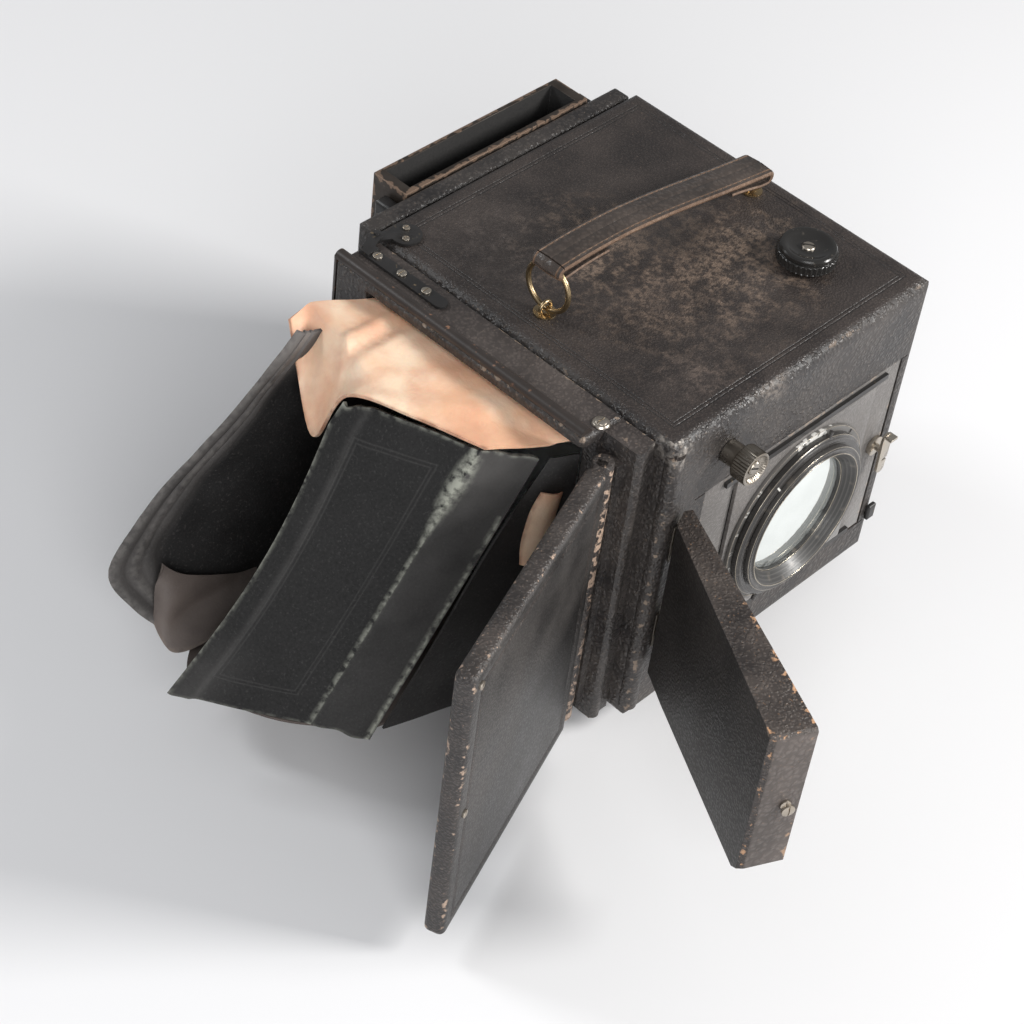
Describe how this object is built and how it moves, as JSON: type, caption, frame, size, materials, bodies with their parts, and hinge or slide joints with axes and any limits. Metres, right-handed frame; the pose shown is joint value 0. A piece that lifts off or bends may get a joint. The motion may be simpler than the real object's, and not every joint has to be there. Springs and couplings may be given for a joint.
{
  "type": "single-lens reflex camera",
  "caption": "Leather-covered folding-hood reflex plate camera on its side, lid, lens flap and hood open, with focusing front, mirror, blind shutter and carrying strap.",
  "frame": {"origin": "centre of the tripod bush, in the outer face of the base", "axes": "+X out of the camera's base, along the tripod screw; -Y out of the lens; +Z out of the strap side, which is up as the camera lies; +Y towards the plate"},
  "size_m": [0.2993, 0.2975, 0.1861],
  "materials": {
    "pebbled_leather": "satin",
    "hood_leather": "matte",
    "thin_leather": "matte",
    "peach_leather": "satin",
    "strap_leather": "satin",
    "black_enamel": "satin",
    "worn_metal": "satin",
    "nickel": "worn",
    "brass": "satin",
    "brass_wire": "worn",
    "steel": "satin",
    "mahogany": "satin",
    "ground_glass": "matte",
    "lens_glass": "polished",
    "mirror": "polished",
    "blind_cloth": "matte"
  },
  "bodies": {
    "case": {"body_shell": "pebbled_leather", "back_frame": "pebbled_leather", "plate_back": "worn_metal", "plate_clips": "black_enamel", "shutter_board": "black_enamel", "mirror_box_front": "black_enamel", "focusing_screen": "ground_glass", "screen_frame": "black_enamel", "tripod_bush": "brass", "strap_lugs": "nickel", "shaft_bushes": "brass", "focus_tracks": "mahogany", "front_stop": "black_enamel", "flap_hinge_leaf": "nickel", "frame_hinge_plates": "black_enamel", "case_screws": "nickel", "release_boss": "black_enamel", "shutter_blind": "blind_cloth"},
    "front": {"lens_panel": "pebbled_leather", "focus_racks": "brass", "rise_guides": "black_enamel", "bellows": "thin_leather"},
    "lens": {"rising_panel": "pebbled_leather", "lens_flange": "black_enamel", "lens_barrel": "black_enamel", "front_glass": "lens_glass", "rear_glass": "lens_glass", "iris_blades": "black_enamel"},
    "aperture": {"aperture_ring": "black_enamel"},
    "clamp": {"clamp_knob": "black_enamel"},
    "flap": {"lens_flap": "pebbled_leather", "flap_stud": "nickel"},
    "catch": {"flap_catch": "black_enamel"},
    "hood": {"hood_frame": "pebbled_leather", "frame_moulding": "black_enamel", "frame_straps": "black_enamel", "hood_screws": "nickel", "hood_front_panel": "hood_leather", "hood_back_panel": "hood_leather", "hood_left_gusset": "peach_leather", "hood_right_gusset": "thin_leather", "hood_front_skirt": "thin_leather"},
    "lid": {"top_lid": "pebbled_leather", "lid_studs": "nickel"},
    "focus": {"focus_shaft": "steel", "focus_knob": "black_enamel", "focus_knob_right": "black_enamel"},
    "mirror": {"mirror_frame": "black_enamel", "mirror_glass": "mirror", "mirror_pivot": "steel"},
    "release": {"release_lever": "nickel"},
    "winder": {"top_roller": "mahogany", "winding_knob": "black_enamel"},
    "take_up": {"bottom_roller": "mahogany", "tension_knob": "black_enamel"},
    "handle": {"carrying_strap": "strap_leather", "strap_rings": "brass_wire"}
  },
  "joints": [
    {"name": "front_slide", "type": "slide", "parent": "case", "child": "front", "axis": [0, -1, 0], "range_m": [0, 0.04], "deforming": ["bellows"]},
    {"name": "lens_rise", "type": "slide", "parent": "front", "child": "lens", "axis": [-1, 0, 0], "range_m": [-0.006, 0.006]},
    {"name": "aperture_turn", "type": "hinge", "parent": "lens", "child": "aperture", "pos_m": [-0.069, -0.084, -0.009], "axis": [0, 1, 0], "range_deg": [-45, 45]},
    {"name": "clamp_turn", "type": "hinge", "parent": "case", "child": "clamp", "pos_m": [-0.122, -0.084, 0.055], "axis": [0, 1, 0], "range_deg": [-180, 180]},
    {"name": "flap_hinge", "type": "hinge", "parent": "case", "child": "flap", "pos_m": [-0.141, -0.0855, 0], "axis": [0, 0, 1], "range_deg": [-8, 116]},
    {"name": "catch_turn", "type": "hinge", "parent": "front", "child": "catch", "pos_m": [-0.014, -0.084, -0.007], "axis": [0, 1, 0], "range_deg": [-90, 90]},
    {"name": "hood_hinge", "type": "hinge", "parent": "case", "child": "hood", "pos_m": [-0.1572, 0.0726, 0], "axis": [0, 0, -1], "range_deg": [0, 75]},
    {"name": "lid_hinge", "type": "hinge", "parent": "hood", "child": "lid", "pos_m": [-0.175, -0.067, 0], "axis": [0, 0, -1], "range_deg": [-15, 110.5], "deforming": ["hood_front_panel", "hood_back_panel", "hood_left_gusset", "hood_right_gusset", "hood_front_skirt"]},
    {"name": "focus_turn", "type": "hinge", "parent": "case", "child": "focus", "pos_m": [-0.033, -0.0435, 0], "axis": [0, 0, -1], "range_deg": [-1, 257]},
    {"name": "mirror_hinge", "type": "hinge", "parent": "case", "child": "mirror", "pos_m": [-0.12, 0.0615, 0], "axis": [0, 0, -1], "range_deg": [0, 44.5], "stiffness_Nm_per_rad": 0.02},
    {"name": "release_turn", "type": "hinge", "parent": "case", "child": "release", "pos_m": [-0.124, -0.058, -0.079], "axis": [0, 0, -1], "range_deg": [-1, 21]},
    {"name": "winder_turn", "type": "hinge", "parent": "case", "child": "winder", "pos_m": [-0.1295, 0.068, 0], "axis": [0, 0, 1], "range_deg": [0, 720]},
    {"name": "take_up_turn", "type": "hinge", "parent": "case", "child": "take_up", "pos_m": [-0.0175, 0.068, 0], "axis": [0, 0, 1], "range_deg": [-2, 722]},
    {"name": "handle_swing", "type": "hinge", "parent": "case", "child": "handle", "pos_m": [-0.076, 0, 0.0775], "axis": [-1, 0, 0], "range_deg": [-20, 20], "stiffness_Nm_per_rad": 0.03}
  ],
  "couplings": [
    {"joint": "focus_turn", "follows": "front_slide", "rad_per_m": 111.11},
    {"joint": "release_turn", "follows": "mirror_hinge", "ratio": 0.45},
    {"joint": "take_up_turn", "follows": "winder_turn", "ratio": 1}
  ]
}
